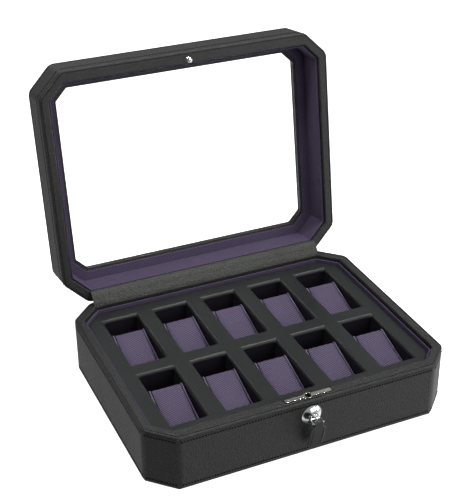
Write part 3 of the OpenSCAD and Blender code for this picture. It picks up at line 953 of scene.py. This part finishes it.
def makeLidWrap():
    low, top = case["lidLow"], case["lidTop"]
    wrap = octagonBlock("lid_wrap", 0, low, top)
    startEdit(wrap)
    deep = lid["borderAt"] + lid["borderThick"]
    walkCap(wrap, -1, [("in", case["rim"]), ("rise", deep), ("in", lid["window"] - case["rim"])])
    walkCap(wrap, 1, [("in", lid["window"])])
    openThrough(wrap, lid["windowCorner"])
    endEdit()
    deepenFront(wrap, case["rim"])
    softenUprights(wrap)
    roundEdges(wrap, lid["edge"], 4)
    cutRimLine(wrap, low, 1)
    for height in (low + lid["rimSeam"], top - lid["topSeam"]):
        pressGroove(wrap, height)
    pressGroove(wrap, low + lid["fold"], "fold")
    smooth(wrap)
    openLid(wrap)
    finishPiece(wrap, "lid", "lidLeather", ["lid_leather"])
    stitchRow("lid_stitches_rim", low + lid["rimSeam"], "lid", True)
    stitchRow("lid_stitches_top", top - lid["topSeam"], "lid", True)


def makeLidLining():
    low = case["lidLow"] + lid["liningDrop"]
    high = case["lidLow"] + lid["borderAt"]
    lining = octagonRing("lid_lining_board", case["rim"] + base["slit"], case["lined"] + base["slit"],
                         low, high)
    roundEdges(lining, lid["liningEdge"])
    smooth(lining)
    openLid(lining)
    finishPiece(lining, "lid", "lidLining", ["lid_lining"])
    border = octagonRing("lid_window_border", case["rim"] + lid["borderLap"], lid["border"],
                         high - lid["borderSink"], high + lid["borderThick"] - lid["borderSink"],
                         lid["windowCorner"])
    roundEdges(border, lid["borderEdge"])
    smooth(border)
    openLid(border)
    finishPiece(border, "lid", "lidLining", ["lid_border"])
    edging = octagonRing("lid_window_bead", lid["border"] - bead["lap"], lid["window"] + bead["reach"],
                         high + bead["sunk"], high + lid["borderThick"] + bead["proud"],
                         lid["windowCorner"], lid["windowCorner"])
    roundEdges(edging, bead["edge"])
    smooth(edging)
    openLid(edging)
    finishPiece(edging, "lid", "lidLeather", ["window_bead"])


def makeGlass():
    low = case["lidLow"] + lid["borderAt"] + lid["borderThick"] + glass["gap"]
    pane = octagonBlock("window_glass", lid["window"] - glass["lap"], low, low + glass["thick"],
                        lid["windowCorner"])
    roundEdges(pane, glass["edge"], 1)
    openLid(pane)
    finishPiece(pane, "lid", "glass", ["glass_pane"])


# radius and drop of each ring of the catch's stud, in millimetres, from its foot to its tip
stud = {"sunk": 0.5 * mm, "foot": 3.3,
        "rings": [(3.3, 0.9), (3.0, 1.1), (1.7, 1.3), (1.7, 3.6),
                  (2.5, 4.3), (2.85, 4.9), (2.5, 5.7), (1.4, 6.2)]}


def makeStud():
    # a turned knob on a round foot, below the rim of the closed lid
    y, top = strike["y"], case["lidLow"] + stud["sunk"]
    deselect()
    bpy.ops.mesh.primitive_circle_add(vertices=40, radius=stud["foot"] * mm, fill_type="NGON",
                                      location=(0, y, top))
    knob = bakePlace(bpy.context.object)
    startEdit(knob)
    bpy.ops.mesh.select_all(action="SELECT")
    bpy.ops.mesh.flip_normals()
    last = (stud["foot"], 0.0)
    for radius, drop in stud["rings"]:
        bpy.ops.mesh.extrude_region_move(TRANSFORM_OT_translate={"value": (0, 0, (last[1] - drop) * mm)})
        scale = radius / last[0]
        bpy.ops.transform.resize(value=(scale, scale, 1), center_override=(0, y, top - drop * mm))
        last = (radius, drop)
    bpy.ops.mesh.select_all(action="SELECT")
    bpy.ops.mesh.normals_make_consistent(inside=False)
    endEdit()
    applyModifier(knob, "SUBSURF", levels=1, render_levels=1)
    activate(knob)
    bpy.ops.object.shade_smooth()
    openLid(knob)
    finishPiece(knob, "lid", "chrome", ["catch_stud"], "lid_catch_stud")


makeLidWrap()
makeLidLining()
makeGlass()
makeStud()
print("lid made")


# The leather strip that bridges the rear rims inside. Its section is in millimetres from the hinge line.
web = {"half": 137 * mm, "thick": 0.8 * mm, "edge": 0.2 * mm, "across": 20, "along": 140,
       "section": ((-11.6, -0.6), (-9.9, 2.9), (-7.2, 6.2), (-4.2, 9.9), (-0.6, 12.3), (2.2, 12.4)),
       "longRipple": (0.25 * mm, 9.0), "shortRipple": (0.15 * mm, 23.0), "blend": (0.02, 0.98)}


def webPlace(s):  # a smooth line through the section's points, from the base rim (0) to the lid rim (1)
    points = [Vector((0, *p)) * mm for p in web["section"]]
    at = s * (len(points) - 1)
    i = min(int(at), len(points) - 2)
    t = at - i
    before = points[max(i - 1, 0)]
    after = points[min(i + 2, len(points) - 1)]
    a, b = points[i], points[i + 1]
    return hinge + 0.5 * (2 * a + (b - before) * t + (2 * before - 5 * a + 4 * b - after) * t * t
                          + (3 * a - before - 3 * b + after) * t ** 3)


def makeWeb():
    deselect()
    bpy.ops.mesh.primitive_grid_add(x_subdivisions=web["along"], y_subdivisions=web["across"], size=2)
    strip = bpy.context.object
    (longHigh, longRate), (shortHigh, shortRate) = web["longRipple"], web["shortRipple"]
    for vert in strip.data.vertices:
        x, s = vert.co.x, (vert.co.y + 1) / 2
        slack = math.sin(math.pi * s)
        ripple = longHigh * math.sin(x * longRate) + shortHigh * math.sin(x * shortRate + 1.3)
        vert.co = webPlace(s) + Vector((x * web["half"], slack * ripple, -slack * ripple))
    applyModifier(strip, "SOLIDIFY", thickness=web["thick"], offset=0)
    applyModifier(strip, "BEVEL", width=web["edge"], segments=2, limit_method="ANGLE", angle_limit=1.0)
    activate(strip)
    bpy.ops.object.shade_smooth_by_angle(angle=math.radians(50))
    finishPiece(strip, None, "web", ["hinge_web"], "hinge_strip")
    webPlace(web["blend"][0])
    webPlace(web["blend"][1])
    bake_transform(strip)


makeWeb()
print("strip made")


stage = {"size": 60, "below": 0.4 * mm}  # the floor, which glows so that it stays evenly pale


def makeStage():
    deselect()
    bpy.ops.mesh.primitive_plane_add(size=stage["size"], location=(0, 0, -stage["below"]))
    floor = bpy.context.object
    floor.name = "floor"
    material, shader = newMaterial("white floor", {"Roughness": 0.9, "Specular IOR Level": 0.1,
                                                   "Emission Strength": 1.0})
    speck = coordinates(material).noise(6, 2.0)
    feed(shader, "Base Color", speck.mix((0.86, 0.86, 0.86, 1), (0.9, 0.9, 0.9, 1)))
    shader.inputs["Emission Color"].default_value = (1, 1, 1, 1)
    floor.data.materials.append(material)
    floor.visible_diffuse = False
    floor.visible_glossy = False
    floor.visible_shadow = False


lamps = [
    {"name": "top softbox", "at": (0.50, -0.05, 1.4), "size": (0.32, 0.15), "power": 10},
    {"name": "top spot", "at": (-0.38, 0.0, 1.4), "size": (0.14, 0.14), "power": 6},
    {"name": "back softbox", "at": (-0.35, 1.5, 1.1), "size": (0.9, 0.4), "power": 3},
    {"name": "front softbox", "at": (0.7, -1.6, 0.85), "size": (1.5, 0.8), "power": 8},
    {"name": "right softbox", "at": (1.6, -0.85, 0.35), "size": (0.8, 0.7), "power": 4},
]
# A pale room: brightest in front to the right, dim along the horizon and straight below,
# with a dark flag in front to the left. Each range gives where it starts and ends, and the light there.
room = {"aim": (0, 0, 0.08), "tilt": (-0.5, 0.0, 1.0, 0.32), "under": (-0.95, -0.7, 0.1, 1.0), "right": 0.36,
        "front": 0.26, "level": 0.9, "flagAt": (-0.43, -0.865, -0.255), "flag": (0.80, 0.92, 1.0, 0.03)}


def makeLights():
    for lamp in lamps:
        data = bpy.data.lights.new(lamp["name"], "AREA")
        data.shape = "RECTANGLE"
        data.size, data.size_y = lamp["size"]
        data.energy = lamp["power"]
        made = bpy.data.objects.new(lamp["name"], data)
        bpy.context.collection.objects.link(made)
        made.location = lamp["at"]
        made.rotation_euler = (Vector(room["aim"]) - made.location).to_track_quat("-Z", "Y").to_euler()
    world = bpy.data.worlds.new("studio")
    bpy.context.scene.world = world
    world.use_nodes = True
    tree = world.node_tree
    back = tree.nodes["Background"]
    back.inputs["Color"].default_value = (1, 1, 1, 1)
    toward = Wire(tree, tree.nodes.new("ShaderNodeTexCoord").outputs["Generated"])
    tilt = toward.axis(2).between(*room["tilt"])
    under = toward.axis(2).between(*room["under"])
    side = toward.axis(0) * room["right"] - toward.axis(1) * room["front"] + room["level"]
    nearFlag = toward.node("ShaderNodeVectorMath", {"operation": "DOT_PRODUCT"},
                           {0: toward, 1: room["flagAt"]}, 1)
    shade = nearFlag.between(*room["flag"], interpolation_type="SMOOTHSTEP")
    tree.links.new((tilt * under * side * shade).socket, back.inputs["Strength"])
    bpy.context.scene.view_settings.view_transform = "Standard"


view = {"azimuth": -24.565, "elevation": 29.75, "roll": -0.07, "distance": 1.35866,
        "target": (0.0562, 0.16835, 0.060), "lens": 82.96, "sensor": 36}


def makeCamera():
    data = bpy.data.cameras.new("camera")
    data.sensor_width = view["sensor"]
    data.lens = view["lens"]
    camera = bpy.data.objects.new("camera", data)
    bpy.context.collection.objects.link(camera)
    a, e = math.radians(view["azimuth"]), math.radians(view["elevation"])
    back = Vector((math.sin(a) * math.cos(e), -math.cos(a) * math.cos(e), math.sin(e)))
    camera.location = Vector(view["target"]) + back * view["distance"]
    aim = (-back).to_track_quat("-Z", "Y").to_matrix().to_4x4()
    camera.matrix_world = (Matrix.Translation(camera.location) @ aim
                           @ Matrix.Rotation(math.radians(view["roll"]), 4, "Z"))
    bpy.context.scene.camera = camera


makeStage()
makeLights()
makeCamera()
deselect()
print("stage made")
